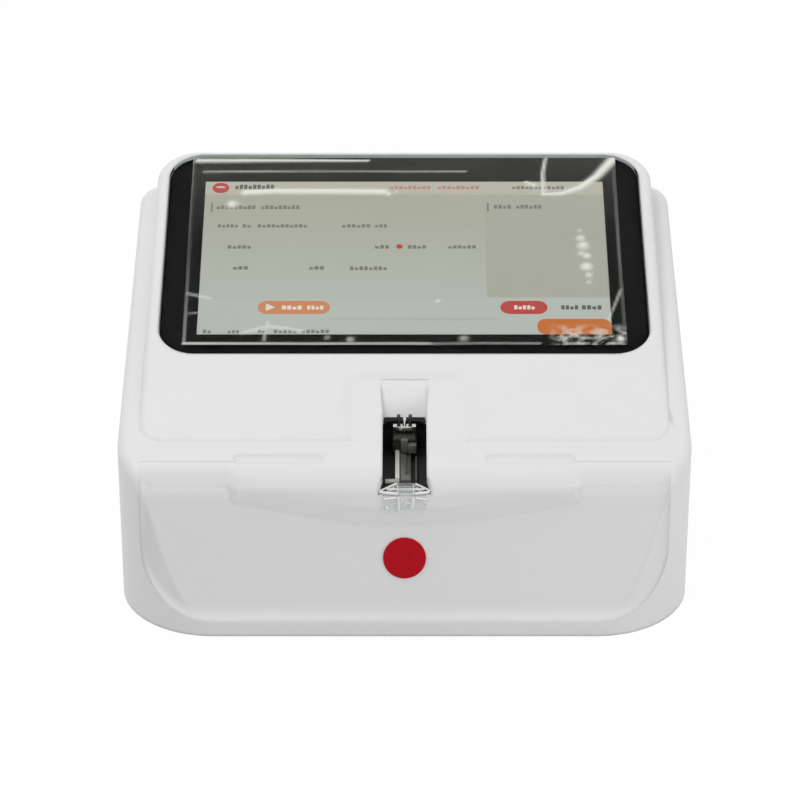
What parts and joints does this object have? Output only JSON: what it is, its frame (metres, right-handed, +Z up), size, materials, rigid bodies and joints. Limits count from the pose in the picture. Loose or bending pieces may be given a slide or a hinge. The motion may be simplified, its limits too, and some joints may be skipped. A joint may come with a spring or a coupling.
{
  "type": "coagulation analyzer",
  "caption": "Wedge-shaped desktop coagulation analyzer with a tilted touch screen, a lit test slot in the deck and sockets and a rocker switch at the rear.",
  "frame": {"origin": "on the table under the middle of the footprint", "axes": "+X across the width to the user's right, +Y from the front to the rear sockets, +Z up"},
  "size_m": [0.207, 0.1894, 0.1096],
  "materials": {
    "casing_white": "fine satin moulding",
    "base_white": "fine satin moulding",
    "glass_black": "polished, black border printed behind",
    "foam_black": "closed foam",
    "display": "lit display",
    "frame_steel": "bare sheet",
    "screw_steel": "zinc plated",
    "film_clear": "thin clear film",
    "badge_red": "gloss enamel",
    "liner_black": "fine satin",
    "holder_olive": "smoky translucent",
    "post_grey": "dark oxide",
    "head_chrome": "polished",
    "optic_grey": "satin",
    "clip_white": "semi gloss",
    "strip_grey": "semi gloss",
    "grip_clear": "clear moulded",
    "heater_aluminium": "milled",
    "board_green": "solder mask",
    "standoff_brass": "turned",
    "can_tin": "tinned",
    "ribbon_white": "flat film cable",
    "speaker_black": "satin",
    "port_black": "satin",
    "port_metal": "nickel plated",
    "rocker_black": "semi gloss",
    "foot_rubber": "soft"
  },
  "bodies": {
    "case": {"base_screws": "screw_steel", "board_screws": "screw_steel", "board_standoffs": "standoff_brass", "bottom_cover": "base_white", "cartridge_grip": "grip_clear", "cell_holder": "holder_olive", "dc_inlet": "port_black", "detector_board": "board_green", "frame_screws": "screw_steel", "front_badge": "badge_red", "glass_gasket": "foam_black", "guide_clip": "clip_white", "guide_posts": "post_grey", "guide_rail": "clip_white", "heater_plate": "heater_aluminium", "lcd_frame": "frame_steel", "lcd_panel": "display", "main_board": "board_green", "optic_block": "optic_grey", "processor_shield": "can_tin", "ribbon_cable": "ribbon_white", "rubber_feet": "foot_rubber", "screen_film": "film_clear", "serial_port": "port_metal", "slot_liner": "liner_black", "speaker": "speaker_black", "switch_frame": "port_black", "test_cartridge": "strip_grey", "top_cover": "casing_white", "touch_glass": "glass_black", "usb_ports": "port_metal"},
    "rocker": {"power_rocker": "rocker_black"},
    "head": {"contact_head": "head_chrome"}
  },
  "joints": [
    {"name": "rocker_tilt", "type": "hinge", "parent": "case", "child": "rocker", "pos_m": [0.068, 0.0885, 0.034], "axis": [1, 0, 0], "range_deg": [0, 18]},
    {"name": "head_lift", "type": "slide", "parent": "case", "child": "head", "axis": [0, 0, 1], "range_m": [0, 0.0015], "stiffness_N_per_m": 20, "springref_m": -0.003}
  ]
}
